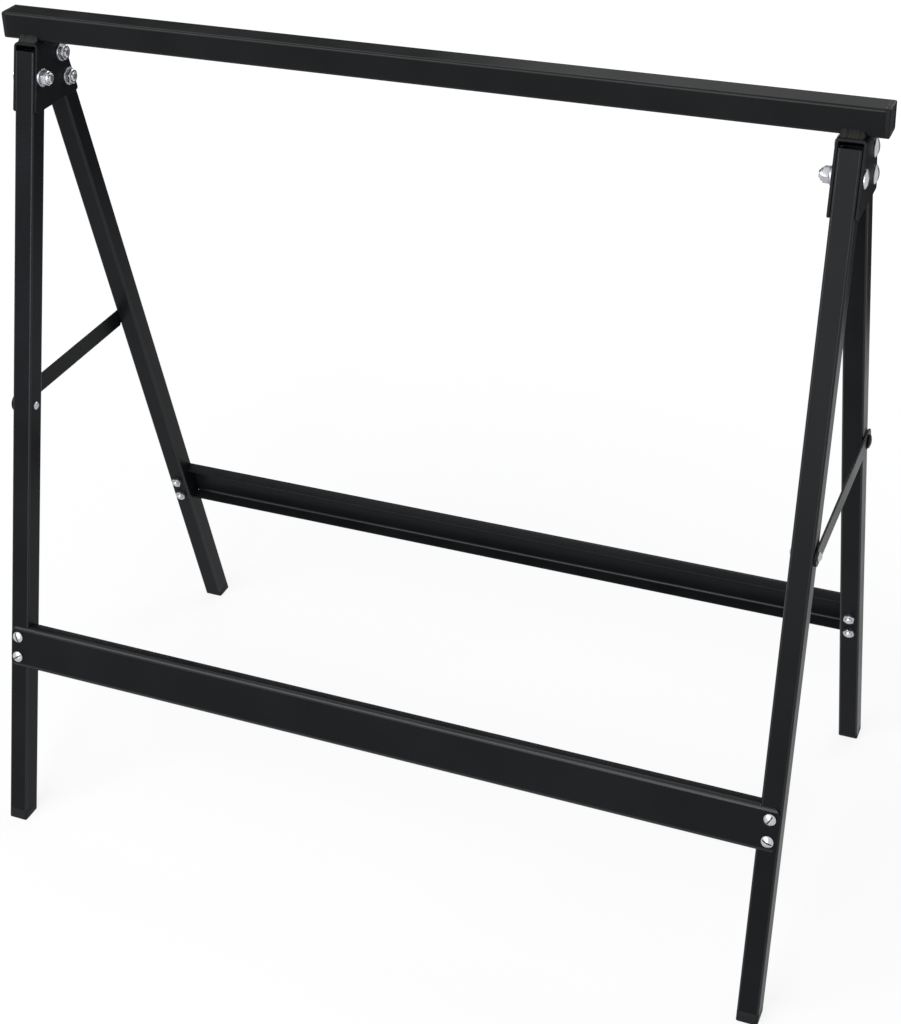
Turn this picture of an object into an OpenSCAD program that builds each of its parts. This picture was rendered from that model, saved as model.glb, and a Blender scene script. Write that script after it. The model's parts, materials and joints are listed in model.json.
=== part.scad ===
// Folding builders trestle: a square tube beam on two leg frames that close against each other.
// X runs along the beam, Y from the front frame to the back frame, and Z is up.
// The origin lies on the floor, under the middle of the beam.

/* [Trestle] */
// Length of the beam over its end plugs
trestle_length = 820; // [600:5:1200]
// Height of the beam's top face above the floor
trestle_height = 790; // [700:5:1000]
// Lean of every leg from upright, in degrees
leg_angle = 14.5; // [12:0.5:18]

/* [Beam] */
// Width of the beam tube, front to back
beam_w = 25; // [20:1:40]
// Height of the beam tube
beam_h = 25; // [20:1:60]
// Wall of the beam tube
beam_wall = 1.5; // [1:0.1:3]
// Outer corner radius of the beam tube
beam_corner_r = 2.5; // [1.5:0.1:4]
// How far the beam runs past the outer face of each bracket
beam_overhang = 15; // [5:1:80]

/* [Legs] */
// Width of a leg tube, along the beam
leg_w = 20; // [16:1:30]
// Depth of a leg tube, front to back
leg_d = 20; // [18:1:30]
// Wall of a leg tube
leg_wall = 1.5; // [1:0.1:2.5]
// Outer corner radius of a leg tube
leg_corner_r = 2; // [1:0.1:3]
// Length of leg above the upper back bolt
leg_end_margin = 10; // [8:0.5:16]
// Gap between the top ends of the front leg and the back leg
leg_top_gap = 8; // [3:0.1:20]
// Gap over the top of a front leg as it swings
leg_swing_clearance = 4; // [2:0.5:15]

/* [Brackets] */
// Thickness of the bracket plate
bracket_t = 2.5; // [2:0.1:5]
// Inside radius of the bracket's two folds
bracket_bend_r = 1.5; // [1:0.1:4]
// How far the bracket stands out in front of and behind the beam
bracket_lip = 7.2; // [6:0.1:15]
// How far the plate's lower edge stays behind a leg's outer face
bracket_inset = 1; // [0:0.1:4]
// Plate left below the lower back bolt
bracket_bottom_margin = 17; // [14:0.5:30]
// Cut at the plate's lower corners
bracket_corner = 2; // [1:0.5:10]
// Gap between a leg and the plate on either side of it
bracket_side_clearance = 0.3; // [0.1:0.05:0.6]
// Height and width of a weld bead
weld_leg = 5.2; // [4.1:0.1:6]

/* [Stretchers] */
// Height of a stretcher
stretcher_h = 44; // [36:0.5:60]
// Depth of a stretcher over its flanges
stretcher_depth = 14; // [9:0.5:22]
// Thickness of the stretcher plate
stretcher_t = 2; // [1:0.1:3]
// Inside radius of the stretcher's folds
stretcher_bend_r = 2.5; // [1:0.1:4]
// Corner radius at the ends of a stretcher
stretcher_corner_r = 8; // [2:0.5:9.5]
// Distance up the leg from the floor to the middle of the stretcher
stretcher_up = 188.5; // [60:0.5:330]
// How far the end of a stretcher stays inside a leg's outer side
stretcher_end_inset = 2; // [0:0.1:4]
// Gap between the end of a flange and the leg beside it
stretcher_flange_gap = 0.3; // [0.2:0.05:3]

/* [Stays] */
// Height of the stays above the floor
stay_height = 425; // [300:1:560]
// Width of a stay
stay_w = 18; // [16:0.5:25]
// Thickness of a stay
stay_t = 2; // [2:0.1:5]
// Length of stay past the middle of its stud, before the round end
stay_tip = 5; // [2:0.5:15]
// Gap on either side of a stay
stay_side_clearance = 0.3; // [0.2:0.05:0.8]
// Gap round the stud in the stay's hook
stay_hook_clearance = 0.6; // [0.4:0.05:0.9]
// Turn of a stay on its rivet for each degree of fold
stay_turn_ratio = 2.6; // [2.2:0.1:3]

/* [Plugs] */
// Height of a foot plug's collar at the middle of the leg
foot_collar_h = 8; // [6:0.5:20]
// Thickness of a beam plug's collar
beam_plug_t = 4; // [2:0.5:6]
// Length of a plug inside its tube
plug_insert = 16; // [8:1:30]
// Wall of a plug inside its tube
plug_wall = 2; // [1:0.1:3]
// Gap between a plug and the inside of its tube
plug_clearance = 0.1; // [0.05:0.05:0.3]

/* [Bracket bolts] */
// Diameter of the pivot bolts and the back leg bolts
bolt_d = 8; // [6:0.5:10]
// Diameter of a bolt's round head
bolt_head_d = 16; // [14:0.5:17]
// Height of a bolt's round head
bolt_head_h = 3.6; // [3:0.1:6]
// Distance between the two bolts of a back leg
back_bolt_spacing = 27; // [22:1:40]
// Length of bolt past its nut
bolt_tail = 1.5; // [0.5:0.5:6]
// Width of a lock nut across its flats
nut_w = 13; // [12:0.5:16]
// Height of a lock nut
nut_h = 8; // [6:0.5:12]
// Height of a lock nut's collar
nut_collar_h = 2; // [1:0.1:3]
// Height of the thin nut on a back leg bolt
back_nut_h = 4; // [3:0.1:7]
// Diameter of a washer
washer_d = 17; // [15:0.5:18]
// Thickness of a washer
washer_t = 1.6; // [1:0.1:3]

/* [Stretcher screws] */
// Diameter of a stretcher screw
screw_d = 6; // [4:0.5:8]
// Diameter of a screw's head
screw_head_d = 11; // [10:0.5:16]
// Height of a screw's head
screw_head_h = 3.8; // [3:0.1:6]
// Width of the slot in a screw's head
screw_slot_w = 1.2; // [0.8:0.1:2]
// Depth of the slot in a screw's head
screw_slot_depth = 1.6; // [1:0.1:2.5]
// Distance between the two screws of a leg
screw_spacing = 21; // [18:0.5:24]
// Length of screw past its nut
screw_tail = 2; // [0.5:0.5:5]
// Width of a screw's nut across its flats
screw_nut_w = 10; // [9:0.5:13]
// Height of a screw's nut
screw_nut_h = 5; // [3:0.5:5.5]

/* [Stay rivets and studs] */
// Diameter of a stay's rivet
rivet_d = 5; // [4:0.5:7]
// Diameter of a rivet's outer head
rivet_head_d = 9; // [8:0.5:14]
// Height of a rivet's outer head
rivet_head_h = 2.8; // [1.5:0.1:4]
// Diameter of a rivet's inner head
rivet_tail_d = 8; // [7.5:0.5:12]
// Height of a rivet's inner head
rivet_tail_h = 2.2; // [1.5:0.1:4]
// Diameter of a stud where the stay hooks over it
stud_d = 6; // [5.5:0.5:9]
// Diameter of a stud's head
stud_head_d = 13; // [11:0.5:16]
// Height of a stud's head
stud_head_h = 3; // [2:0.1:5]
// Diameter of the stud's spigot in the leg wall
stud_spigot_d = 4.5; // [3:0.5:5]
// Length of spigot inside the leg wall
stud_spigot_reach = 1.5; // [0.5:0.1:4]

/* [Fits] */
// Gap round a bolt, screw, rivet or spigot in its hole
pin_clearance = 0.05; // [0.02:0.01:0.1]
// Gap round a bolt in its washer
washer_clearance = 0.2; // [0.1:0.05:0.4]

/* [Hidden] */
// Overrun of a cutting shape past the face that it cuts
overrun = 2;
// Shares of the size that carries each shape
inner_corner_share = 0.3;
head_rim_share = 0.3;
hex_face_share = 0.94;
nut_collar_share = 0.86;
tip_share = 0.16;
stud_rim_share = 0.5;
// Turns of the four screw slots of a frame, in degrees
slot_turns = [[35, -20], [110, 60]];
// Number of sides of the round shapes
$fn = 64;
// Colours of the finishes
paint_colour = "#2a2d30";
zinc_colour = "#c9ccd1";
plastic_colour = "#1b1c1e";

// Where the legs stand
leg_sin = sin(leg_angle);
leg_cos = cos(leg_angle);
leg_tan = tan(leg_angle);
beam_under_z = trestle_height - beam_h;
beam_mid_z = trestle_height - beam_h / 2;
leg_above_pivot = back_bolt_spacing / 2 + leg_end_margin;
leg_swing_r = sqrt(pow(leg_above_pivot, 2) + pow(leg_d / 2, 2));
pivot_y = leg_above_pivot * leg_sin + leg_d / 2 * leg_cos + leg_top_gap / 2;
pivot_z = beam_under_z - bracket_t - leg_swing_clearance - leg_swing_r;
leg_drop = pivot_z / leg_cos;
foot_y = pivot_y + pivot_z * leg_tan;

// Where the brackets and their bolts sit
bracket_side = leg_w / 2 + bracket_side_clearance + bracket_t;
leg_x = trestle_length / 2 - beam_overhang - bracket_side;
bracket_bottom_z = pivot_z - back_bolt_spacing / 2 - bracket_bottom_margin;
bracket_top_half = beam_w / 2 + bracket_lip;
bracket_leg_y = pivot_y + (pivot_z - bracket_bottom_z) * leg_tan;
bracket_bottom_half = bracket_leg_y + (leg_d / 2 - bracket_inset) / leg_cos;
weld_length = 2 * (bracket_side - bracket_t);
pivot_place = [-pivot_y, pivot_z];
back_bolt_rises = [for (end = [-1, 1]) end * back_bolt_spacing / 2];
back_bolt_places = [for (rise = back_bolt_rises) [pivot_y - rise * leg_sin, pivot_z + rise * leg_cos]];
bolt_hole_d = bolt_d + 2 * pin_clearance;
nut_seat = bracket_side + washer_t;

// Where the stretchers and their screws sit, measured along a leg from its pivot
stretcher_z = stretcher_up - leg_drop;
stretcher_length = 2 * (leg_x + leg_w / 2 - stretcher_end_inset);
stretcher_flange_end = leg_x - leg_w / 2 - stretcher_flange_gap;
screw_zs = [for (end = [-1, 1]) stretcher_z + end * screw_spacing / 2];
screw_hole_d = screw_d + 2 * pin_clearance;
screw_seat = leg_d / 2 + stretcher_t;
screw_reach = leg_d / 2 + screw_nut_h + screw_tail;

// Where the stays sit, and the way that a stud leaves a stay's hook
stay_y = pivot_y + (pivot_z - stay_height) * leg_tan;
stay_span = 2 * stay_y;
stay_leg_z = (stay_height - pivot_z) / leg_cos;
stay_inner_x = leg_w / 2 + stay_side_clearance;
stay_outer_x = stay_inner_x + stay_t + stay_side_clearance;
stay_hook_angle = atan2(pivot_z - stay_height, (1 + stay_turn_ratio) * stay_span - (stay_y - pivot_y));
rivet_hole_d = rivet_d + 2 * pin_clearance;
spigot_hole_d = stud_spigot_d + 2 * pin_clearance;

// Puts its children at one end of the trestle, with X pointing away from the middle.
module at_end(side) {
    mirror([side < 0 ? 1 : 0, 0, 0])
        translate([leg_x, 0, 0])
            children();
}

// Puts its children in a leg's own frame: the pivot's height is zero, Z runs up the leg
// and negative Y points out of the trestle.
module in_leg(back) {
    mirror([0, back ? 1 : 0, 0])
        translate([0, -pivot_y, pivot_z])
            rotate([-leg_angle, 0, 0])
                children();
}

// Puts its children at a bracket bolt, with Z pointing out of the trestle's end.
module at_bolt(place) {
    translate([0, place[0], place[1]])
        rotate([0, 90, 0])
            children();
}

// Puts its children at a stretcher screw, with Z pointing out of the leg frame.
module at_screw(rise) {
    translate([0, 0, rise])
        rotate([90, 0, 0])
            children();
}

// Stands an outline drawn in Y and Z along X, from zero.
module along_x(length) {
    rotate([90, 0, 90])
        linear_extrude(length)
            children();
}

// Stands an outline drawn in X and Z along Y, half to each side.
module across_y(length) {
    rotate([90, 0, 0])
        linear_extrude(length, center = true)
            children();
}

module rounded_rect(w, h, r) {
    square([w - 2 * r, h], center = true);
    square([w, h - 2 * r], center = true);
    for (x = [-1, 1], y = [-1, 1])
        translate([x * (w / 2 - r), y * (h / 2 - r)])
            circle(r);
}

module tube_outline(w, h, wall, r) {
    difference() {
        rounded_rect(w, h, r);
        rounded_rect(w - 2 * wall, h - 2 * wall, r * inner_corner_share);
    }
}

// A plug's wall inside a tube of the given size.
module insert_outline(w, h, wall, r) {
    gap = 2 * (wall + plug_clearance);
    tube_outline(w - gap, h - gap, plug_wall, r * inner_corner_share);
}

// A door-shaped outline: flat at the bottom, round at both top corners.
module arch_outline(w, bottom, top, r) {
    translate([-w / 2, bottom])
        square([w, top - bottom - r]);
    translate([r - w / 2, bottom])
        square([w - 2 * r, top - bottom]);
    for (x = [-1, 1])
        translate([x * (w / 2 - r), top - r])
            circle(r);
}

// A shallow block outline with its two outer corners round: depth to the right, height centred.
module tray_outline(depth, h, r) {
    translate([r, -h / 2])
        square([depth - r, h]);
    translate([0, r - h / 2])
        square([depth, h - 2 * r]);
    for (y = [-1, 1])
        translate([r, y * (h / 2 - r)])
            circle(r);
}

// Round head with an upright rim and a domed top.
module round_head(d, h) {
    rim = h * head_rim_share;
    rise = h - rim;
    ball_r = (d * d / 4 + rise * rise) / (2 * rise);
    intersection() {
        cylinder(d = d, h = h);
        translate([0, 0, h - ball_r])
            sphere(ball_r);
    }
}

// Six-sided block whose corners are cut back at both ends.
module hex_block(w, h) {
    corner_r = w / 2 / cos(30);
    face_r = w / 2 * hex_face_share;
    cut = (corner_r - face_r) * tan(30);
    intersection() {
        cylinder(r = corner_r, h = h, $fn = 6);
        rotate_extrude()
            polygon([[0, 0], [face_r, 0], [corner_r, cut], [corner_r, h - cut], [face_r, h], [0, h]]);
    }
}

// Threaded shank with a tapered tip at zero.
module shank(d, length) {
    tip = d * tip_share;
    translate([0, 0, tip])
        cylinder(d = d, h = length - tip);
    cylinder(d1 = d - 2 * tip, d2 = d, h = tip);
}

// Short cylinder with its lower edge cut back.
module round_collar(d, h) {
    edge = d * tip_share / 2;
    translate([0, 0, edge])
        cylinder(d = d, h = h - edge);
    cylinder(d1 = d - 2 * edge, d2 = d, h = edge);
}

module bore_x(d, length) {
    rotate([0, 90, 0])
        cylinder(d = d, h = length, center = true);
}

module bore_y(d, length) {
    rotate([90, 0, 0])
        cylinder(d = d, h = length, center = true);
}

// Beam: a square tube, closed at both ends by plugs.
module beam_tube() {
    length = trestle_length - 2 * beam_plug_t;
    translate([-length / 2, 0, beam_mid_z])
        along_x(length)
            tube_outline(beam_w, beam_h, beam_wall, beam_corner_r);
}

module beam_plug() {
    translate([trestle_length / 2 - leg_x - beam_plug_t, 0, beam_mid_z]) {
        along_x(beam_plug_t)
            rounded_rect(beam_w, beam_h, beam_corner_r);
        translate([-plug_insert, 0, 0])
            along_x(plug_insert)
                insert_outline(beam_w, beam_h, beam_wall, beam_corner_r);
    }
}

// Bracket: a plate folded down on both sides of the legs.
module bracket_fold() {
    difference() {
        arch_outline(2 * bracket_side, bracket_bottom_z, beam_under_z, bracket_bend_r + bracket_t);
        arch_outline(
            2 * (bracket_side - bracket_t),
            bracket_bottom_z - overrun,
            beam_under_z - bracket_t,
            bracket_bend_r
        );
    }
}

module bracket_plate() {
    shoulder_z = bracket_bottom_z + bracket_corner;
    slope = (bracket_bottom_half - bracket_top_half) / (beam_under_z - bracket_bottom_z);
    shoulder_half = bracket_bottom_half - bracket_corner * slope;
    right_side = [
        [bracket_top_half, beam_under_z],
        [shoulder_half, shoulder_z],
        [bracket_bottom_half - bracket_corner, bracket_bottom_z]
    ];
    left_side = [for (i = [2, 1, 0]) [-right_side[i][0], right_side[i][1]]];
    polygon(concat(right_side, left_side));
}

module bracket() {
    difference() {
        intersection() {
            across_y(2 * (bracket_bottom_half + overrun))
                bracket_fold();
            translate([-bracket_side - overrun, 0, 0])
                along_x(2 * (bracket_side + overrun))
                    bracket_plate();
        }
        for (place = concat([pivot_place], back_bolt_places))
            translate([0, place[0], place[1]])
                bore_x(bolt_hole_d, 2 * (bracket_side + overrun));
    }
}

// Weld beads along the beam, on the bracket's front and back lips.
module bracket_weld_pair() {
    for (back = [0, 1])
        mirror([0, back, 0])
            translate([-weld_length / 2, beam_w / 2, beam_under_z])
                along_x(weld_length)
                    polygon([[0, 0], [weld_leg, 0], [0, weld_leg]]);
}

// Legs: square tubes with holes for their bolts, screws and stay.
module leg_tube() {
    translate([0, 0, foot_collar_h - leg_drop])
        linear_extrude(leg_drop - foot_collar_h + leg_above_pivot)
            tube_outline(leg_w, leg_d, leg_wall, leg_corner_r);
}

module screw_holes() {
    for (rise = screw_zs)
        translate([0, 0, rise])
            bore_y(screw_hole_d, 2 * (screw_seat + overrun));
}

module front_leg() {
    difference() {
        leg_tube();
        bore_x(bolt_hole_d, leg_w + 2 * overrun);
        translate([0, 0, stay_leg_z])
            bore_x(rivet_hole_d, leg_w + 2 * overrun);
        screw_holes();
    }
}

module back_leg() {
    difference() {
        leg_tube();
        for (rise = back_bolt_rises)
            translate([0, 0, rise])
                bore_x(bolt_hole_d, leg_w + 2 * overrun);
        translate([leg_w / 2, 0, stay_leg_z])
            bore_x(spigot_hole_d, 2 * (leg_wall + overrun));
        screw_holes();
    }
}

// Foot plug: a collar under the tube, cut level with the floor, and a wall inside the tube.
module foot_plug_blank() {
    translate([0, 0, -leg_drop - leg_d])
        linear_extrude(leg_d + foot_collar_h)
            rounded_rect(leg_w, leg_d, leg_corner_r);
    translate([0, 0, foot_collar_h - leg_drop])
        linear_extrude(plug_insert)
            insert_outline(leg_w, leg_d, leg_wall, leg_corner_r);
}

module foot_plug(back) {
    difference() {
        in_leg(back)
            foot_plug_blank();
        translate([-leg_w, -foot_y - 2 * leg_d, -2 * leg_d])
            cube([2 * leg_w, 2 * (foot_y + 2 * leg_d), 2 * leg_d]);
    }
}

// Stretcher: a channel with its web on the outer faces of two legs and its flanges cut short of them.
module channel_outline() {
    difference() {
        tray_outline(stretcher_depth, stretcher_h, stretcher_bend_r + stretcher_t);
        translate([stretcher_t, 0])
            tray_outline(stretcher_depth + overrun, stretcher_h - 2 * stretcher_t, stretcher_bend_r);
    }
}

module flange_end_cut() {
    translate([stretcher_flange_end, stretcher_t])
        square([2 * leg_w, stretcher_depth]);
}

module stretcher() {
    difference() {
        translate([0, -screw_seat, stretcher_z])
            difference() {
                intersection() {
                    translate([-stretcher_length / 2, 0, 0])
                        along_x(stretcher_length)
                            channel_outline();
                    across_y(2 * (stretcher_depth + overrun))
                        rounded_rect(stretcher_length, stretcher_h, stretcher_corner_r);
                }
                for (left = [0, 1])
                    mirror([left, 0, 0])
                        linear_extrude(stretcher_h + 2 * overrun, center = true)
                            flange_end_cut();
            }
        for (side = [-1, 1])
            translate([side * leg_x, 0, 0])
                screw_holes();
    }
}

// Bracket bolt, with its round head outside and a nut of the given height towards the middle.
module bracket_bolt(nut_height) {
    reach = nut_seat + nut_height + bolt_tail;
    translate([0, 0, -reach])
        shank(bolt_d, reach + bracket_side + bolt_head_h * head_rim_share);
    translate([0, 0, bracket_side])
        round_head(bolt_head_d, bolt_head_h);
}

module bracket_washer() {
    translate([0, 0, -nut_seat])
        difference() {
            cylinder(d = washer_d, h = washer_t);
            translate([0, 0, -overrun])
                cylinder(d = bolt_d + 2 * washer_clearance, h = washer_t + 2 * overrun);
        }
}

module lock_nut() {
    collar_d = nut_w * nut_collar_share;
    translate([0, 0, -nut_seat - nut_h])
        difference() {
            union() {
                translate([0, 0, nut_collar_h])
                    hex_block(nut_w, nut_h - nut_collar_h);
                round_collar(collar_d, 2 * nut_collar_h);
            }
            translate([0, 0, -overrun])
                cylinder(d = bolt_hole_d, h = nut_h + 2 * overrun);
        }
}

// Thin nut of a joint that stays tight.
module thin_nut() {
    translate([0, 0, -nut_seat - back_nut_h])
        difference() {
            hex_block(nut_w, back_nut_h);
            translate([0, 0, -overrun])
                cylinder(d = bolt_hole_d, h = back_nut_h + 2 * overrun);
        }
}

// Stretcher screw: slotted round head outside the web, nut inside the leg frame.
module stretcher_screw(turn) {
    difference() {
        union() {
            translate([0, 0, -screw_reach])
                shank(screw_d, screw_reach + screw_seat + screw_head_h * head_rim_share);
            translate([0, 0, screw_seat])
                round_head(screw_head_d, screw_head_h);
        }
        translate([0, 0, screw_seat + screw_head_h - screw_slot_depth + screw_head_h / 2])
            rotate([0, 0, turn])
                cube([screw_head_d + 2 * overrun, screw_slot_w, screw_head_h], center = true);
    }
}

module stretcher_nut() {
    translate([0, 0, -leg_d / 2 - screw_nut_h])
        difference() {
            hex_block(screw_nut_w, screw_nut_h);
            translate([0, 0, -overrun])
                cylinder(d = screw_hole_d, h = screw_nut_h + 2 * overrun);
        }
}

module frame_screws(back) {
    for (side = [-1, 1], i = [0, 1])
        at_end(side)
            in_leg(back)
                at_screw(screw_zs[i])
                    stretcher_screw(slot_turns[i][side < 0 ? 0 : 1]);
}

module frame_nuts(back) {
    for (side = [-1, 1], rise = screw_zs)
        at_end(side)
            in_leg(back)
                at_screw(rise)
                    stretcher_nut();
}

// Stay: a flat bar with a hole for its rivet and a slanted hook, open below, for its stud.
module stay_hook() {
    hook_d = stud_d + 2 * stay_hook_clearance;
    translate([stay_span, 0])
        rotate(-stay_hook_angle) {
            circle(d = hook_d);
            translate([-hook_d / 2, -stay_w])
                square([hook_d, stay_w]);
        }
}

module stay_outline() {
    difference() {
        union() {
            circle(d = stay_w);
            translate([0, -stay_w / 2])
                square([stay_span + stay_tip, stay_w]);
            translate([stay_span + stay_tip, 0])
                circle(d = stay_w);
        }
        circle(d = rivet_hole_d);
        stay_hook();
    }
}

module stay() {
    translate([stay_inner_x, -stay_y, stay_height])
        along_x(stay_t)
            stay_outline();
}

// Rivet through the front leg, with room for the stay to turn under its outer head.
module stay_rivet() {
    at_bolt([-stay_y, stay_height]) {
        translate([0, 0, -leg_w / 2])
            cylinder(d = rivet_d, h = leg_w / 2 + stay_outer_x);
        translate([0, 0, stay_outer_x])
            round_head(rivet_head_d, rivet_head_h);
        translate([0, 0, -leg_w / 2])
            mirror([0, 0, 1])
                round_head(rivet_tail_d, rivet_tail_h);
    }
}

// Headed stud on the outer wall of the back leg.
module stay_stud() {
    spigot = leg_wall + stud_spigot_reach;
    rim = stud_head_h * stud_rim_share;
    at_bolt([stay_y, stay_height]) {
        translate([0, 0, leg_w / 2 - spigot])
            cylinder(d = stud_spigot_d, h = spigot + rim);
        translate([0, 0, leg_w / 2])
            cylinder(d = stud_d, h = stay_outer_x - leg_w / 2 + rim);
        translate([0, 0, stay_outer_x])
            round_head(stud_head_d, stud_head_h);
    }
}

module top_beam() {
    color(paint_colour) beam_tube();
}

module end_plug(side) {
    color(plastic_colour) at_end(side) beam_plug();
}

module leg_bracket(side) {
    color(paint_colour) at_end(side) bracket();
}

module bracket_welds() {
    color(paint_colour)
        for (side = [-1, 1])
            at_end(side)
                bracket_weld_pair();
}

module back_leg_at(side) {
    color(paint_colour) at_end(side) in_leg(true) back_leg();
}

module front_leg_at(side) {
    color(paint_colour) at_end(side) in_leg(false) front_leg();
}

module stretcher_at(back) {
    color(paint_colour) in_leg(back) stretcher();
}

module foot_plug_at(side, back) {
    color(plastic_colour) at_end(side) foot_plug(back);
}

// Repeats its children at the given bolt places of both brackets.
module at_bolts(places) {
    color(zinc_colour)
        for (side = [-1, 1], place = places)
            at_end(side)
                at_bolt(place)
                    children();
}

module screws_at(back) {
    color(zinc_colour) frame_screws(back);
}

module nuts_at(back) {
    color(zinc_colour) frame_nuts(back);
}

module stay_at(side) {
    color(paint_colour) at_end(side) stay();
}

module rivet_at(side) {
    color(zinc_colour) at_end(side) stay_rivet();
}

module stud_at(side) {
    color(paint_colour) at_end(side) stay_stud();
}

top_beam();
end_plug(-1);  // beam_plug_left
end_plug(1);  // beam_plug_right
leg_bracket(-1);  // left_bracket
leg_bracket(1);  // right_bracket
bracket_welds();
back_leg_at(-1);  // back_leg_left
back_leg_at(1);  // back_leg_right
stretcher_at(true);  // back_stretcher
at_bolts(back_bolt_places) bracket_bolt(back_nut_h);  // back_leg_bolts
at_bolts(back_bolt_places) thin_nut();  // back_leg_nuts
at_bolts(back_bolt_places) bracket_washer();  // back_leg_washers
screws_at(true);  // back_stretcher_screws
nuts_at(true);  // back_stretcher_nuts
foot_plug_at(-1, true);  // foot_plug_back_left
foot_plug_at(1, true);  // foot_plug_back_right
stud_at(-1);  // stay_stud_left
stud_at(1);  // stay_stud_right
at_bolts([pivot_place]) bracket_bolt(nut_h);  // pivot_bolts
at_bolts([pivot_place]) lock_nut();  // pivot_nuts
at_bolts([pivot_place]) bracket_washer();  // pivot_washers
front_leg_at(-1);  // front_leg_left
front_leg_at(1);  // front_leg_right
stretcher_at(false);  // front_stretcher
screws_at(false);  // front_stretcher_screws
nuts_at(false);  // front_stretcher_nuts
foot_plug_at(-1, false);  // foot_plug_front_left
foot_plug_at(1, false);  // foot_plug_front_right
rivet_at(-1);  // stay_rivet_left
rivet_at(1);  // stay_rivet_right
stay_at(-1);  // stay_left
stay_at(1);  // stay_right
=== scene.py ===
# %% [markdown]
# # A folding builders trestle
#
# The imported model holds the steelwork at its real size: a square tube beam, four leaning legs, two folded
# stretchers, two stays and the hardware that joins them. This lesson gives it its looks. It sets up the
# camera and the light, mixes the finishes, and then models what a plain solid lacks: threads, slots,
# rippled welds, moulded plugs and the soft edges that thick paint gives to cut steel.

# %% Load the frame
import json
import math

import bpy
from mathutils import Matrix, Vector

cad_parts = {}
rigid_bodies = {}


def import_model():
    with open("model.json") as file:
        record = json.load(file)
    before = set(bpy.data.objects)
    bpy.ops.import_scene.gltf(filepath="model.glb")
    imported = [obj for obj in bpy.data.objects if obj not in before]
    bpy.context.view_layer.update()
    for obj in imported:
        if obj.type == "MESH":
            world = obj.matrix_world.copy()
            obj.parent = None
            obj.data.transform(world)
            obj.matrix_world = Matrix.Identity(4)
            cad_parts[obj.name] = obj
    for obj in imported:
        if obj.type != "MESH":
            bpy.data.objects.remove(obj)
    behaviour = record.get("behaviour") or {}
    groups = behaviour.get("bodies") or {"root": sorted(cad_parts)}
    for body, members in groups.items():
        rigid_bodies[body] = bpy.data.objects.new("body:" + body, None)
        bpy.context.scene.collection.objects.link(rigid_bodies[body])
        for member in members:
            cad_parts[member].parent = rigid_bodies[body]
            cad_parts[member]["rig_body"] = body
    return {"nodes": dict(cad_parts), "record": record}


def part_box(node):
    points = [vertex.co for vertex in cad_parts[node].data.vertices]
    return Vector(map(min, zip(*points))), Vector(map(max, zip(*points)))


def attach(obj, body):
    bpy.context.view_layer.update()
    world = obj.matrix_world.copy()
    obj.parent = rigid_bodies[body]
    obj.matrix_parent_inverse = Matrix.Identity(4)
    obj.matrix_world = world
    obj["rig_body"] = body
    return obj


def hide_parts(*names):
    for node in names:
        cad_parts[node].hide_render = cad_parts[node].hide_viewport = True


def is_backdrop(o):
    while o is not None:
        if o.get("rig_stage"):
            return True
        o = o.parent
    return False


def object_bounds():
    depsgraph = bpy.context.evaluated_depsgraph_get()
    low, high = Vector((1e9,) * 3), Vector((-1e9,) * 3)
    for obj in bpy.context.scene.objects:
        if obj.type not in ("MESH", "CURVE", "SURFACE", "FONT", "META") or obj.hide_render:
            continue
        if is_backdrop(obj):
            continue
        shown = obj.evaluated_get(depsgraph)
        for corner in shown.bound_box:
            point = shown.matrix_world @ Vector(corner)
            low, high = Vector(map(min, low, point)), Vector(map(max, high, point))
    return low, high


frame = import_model()
CAD_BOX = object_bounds()
NODES = frame["nodes"]
SLOTS = {name: node.data.materials[0].name for name, node in NODES.items()}
MM = 0.001

# %% [markdown]
# ## Camera
#
# The picture was taken from above and to the right of the trestle with a moderate lens, and cropped so that
# the optical axis lies above the middle of the frame. A camera could be placed by eye, but the long straight
# tubes show every degree of error, so its place and its three turns are written down as sizes. The crop
# becomes a small lens shift.

# %% Camera
IMAGE_H = 1024
FOCAL_PIXELS = 1937.2
AXIS_RISE_PIXELS = 155.0
SENSOR_MM = 36.0
CAMERA_PLACE = Vector((648.6, -1443.5, 1346.0)) * MM
CAMERA_YAW = math.radians(-23.38)
CAMERA_PITCH = math.radians(-28.34)
CAMERA_ROLL = math.radians(2.06)


def camera_axes(yaw, pitch, roll):
    """Right, up and backward axes of a camera that looks along +Y when all turns are zero."""
    forward = Vector((
        math.sin(yaw) * math.cos(pitch),
        math.cos(yaw) * math.cos(pitch),
        math.sin(pitch),
    ))
    level_right = Vector((math.cos(yaw), -math.sin(yaw), 0.0))
    level_down = forward.cross(level_right)
    right = math.cos(roll) * level_right + math.sin(roll) * level_down
    down = math.cos(roll) * level_down - math.sin(roll) * level_right
    return right, -down, -forward


lens = bpy.data.cameras.new("photo_camera")
lens.sensor_width = SENSOR_MM
lens.lens = SENSOR_MM * FOCAL_PIXELS / IMAGE_H
lens.shift_y = -AXIS_RISE_PIXELS / IMAGE_H
camera = bpy.data.objects.new("photo_camera", lens)
camera_turn = Matrix(camera_axes(CAMERA_YAW, CAMERA_PITCH, CAMERA_ROLL)).transposed().to_4x4()
camera.matrix_world = Matrix.Translation(CAMERA_PLACE) @ camera_turn
bpy.context.scene.collection.objects.link(camera)
bpy.context.scene.camera = camera
print("camera: lens", round(lens.lens, 2), "mm, shift", round(lens.shift_y, 3))

# %% [markdown]
# ## Light and background
#
# Satin black steel shows little colour of its own: what the eye reads is what its faces reflect. So the
# trestle stands in a studio with a dim even sky, softboxes, dark cards and a paper floor. A bright sky alone
# would light the faces but leave the folds dull. The background is white for the camera and for reflections,
# while the light that the sky sheds stays weak, so the black steel isn't washed out.

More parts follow.
